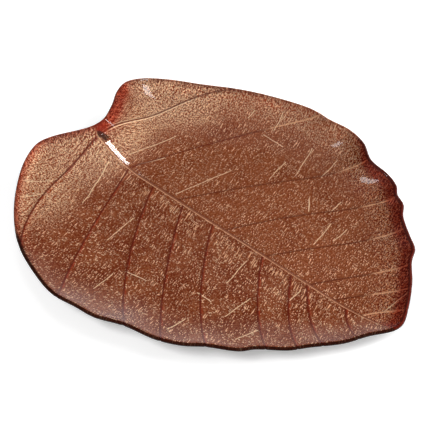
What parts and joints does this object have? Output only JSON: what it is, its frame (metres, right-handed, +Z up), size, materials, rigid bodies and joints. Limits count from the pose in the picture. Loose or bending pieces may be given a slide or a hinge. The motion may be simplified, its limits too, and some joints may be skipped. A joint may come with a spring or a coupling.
{
  "type": "decorative platter",
  "caption": "Heart-shaped leaf platter of clear pressed glass with a raised rim, its veined underside coated in metallic copper lacquer with a dark seal coat.",
  "frame": {"origin": "on the table, under the centre of the platter's box", "axes": "+X along the midrib from the stem notch to the tip, +Y to the leaf's left seen from the stem, +Z up"},
  "size_m": [0.382, 0.3336, 0.032],
  "materials": {
    "clear_glass": "fire-polished, smooth on top, pressed veins below",
    "copper_lacquer": "metallic copper lacquer with golden grain, seen through the glass",
    "seal_coat": "satin dark brown"
  },
  "bodies": {
    "root": {"glass_leaf": "clear_glass", "copper_lacquer": "copper_lacquer", "back_seal_coat": "seal_coat"}
  },
  "joints": []
}
